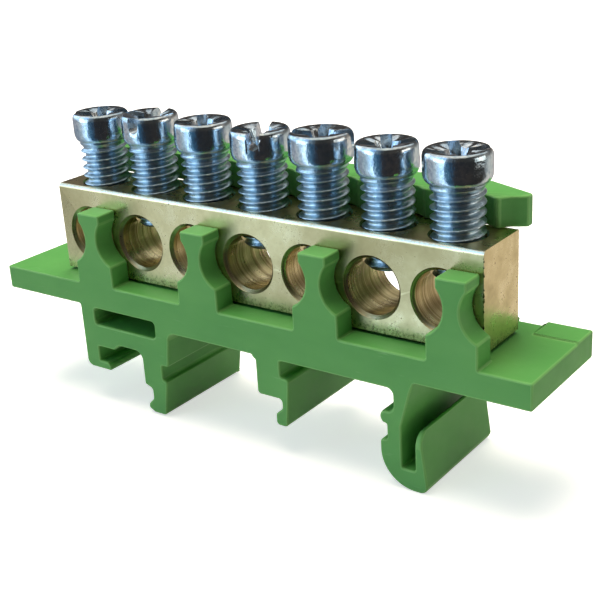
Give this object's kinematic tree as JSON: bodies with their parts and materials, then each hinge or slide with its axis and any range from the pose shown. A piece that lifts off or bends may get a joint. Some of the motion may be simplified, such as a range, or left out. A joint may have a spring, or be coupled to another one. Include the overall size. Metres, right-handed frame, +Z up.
{
  "type": "earth terminal bar",
  "caption": "Brass earth terminal bar with clamp screws over cross holes, held in a green moulded carrier that snaps onto mounting rails.",
  "frame": {"origin": "middle of the seat on the wide mounting rail, level with the rail's top face", "axes": "+X along the bar, away from the hook end; +Y along the rail, from the fingers to the screw wall; +Z up, away from the rail"},
  "size_m": [0.0812, 0.016, 0.0396],
  "materials": {
    "green_polyamide": "satin moulded",
    "brass": "drawn and drilled",
    "zinc_plated_steel": "blue passivated zinc"
  },
  "bodies": {
    "holder": {"rail_carrier": "green_polyamide", "terminal_bar": "brass"},
    "screw_1": {"clamp_screw_1": "zinc_plated_steel"},
    "screw_2": {"clamp_screw_2": "zinc_plated_steel"},
    "screw_3": {"clamp_screw_3": "zinc_plated_steel"},
    "screw_4": {"clamp_screw_4": "zinc_plated_steel"},
    "screw_5": {"clamp_screw_5": "zinc_plated_steel"},
    "screw_6": {"clamp_screw_6": "zinc_plated_steel"},
    "screw_7": {"clamp_screw_7": "zinc_plated_steel"}
  },
  "joints": [
    {"name": "screw_1_travel", "type": "slide", "parent": "holder", "child": "screw_1", "axis": [0, 0, -1], "range_m": [-0.0033, 0.0033]},
    {"name": "screw_2_travel", "type": "slide", "parent": "holder", "child": "screw_2", "axis": [0, 0, -1], "range_m": [-0.00285, 0.00375]},
    {"name": "screw_3_travel", "type": "slide", "parent": "holder", "child": "screw_3", "axis": [0, 0, -1], "range_m": [-0.003, 0.0036]},
    {"name": "screw_4_travel", "type": "slide", "parent": "holder", "child": "screw_4", "axis": [0, 0, -1], "range_m": [-0.0032, 0.0034]},
    {"name": "screw_5_travel", "type": "slide", "parent": "holder", "child": "screw_5", "axis": [0, 0, -1], "range_m": [-0.0028, 0.0038]},
    {"name": "screw_6_travel", "type": "slide", "parent": "holder", "child": "screw_6", "axis": [0, 0, -1], "range_m": [-0.00315, 0.00345]},
    {"name": "screw_7_travel", "type": "slide", "parent": "holder", "child": "screw_7", "axis": [0, 0, -1], "range_m": [-0.0031, 0.0035]}
  ]
}
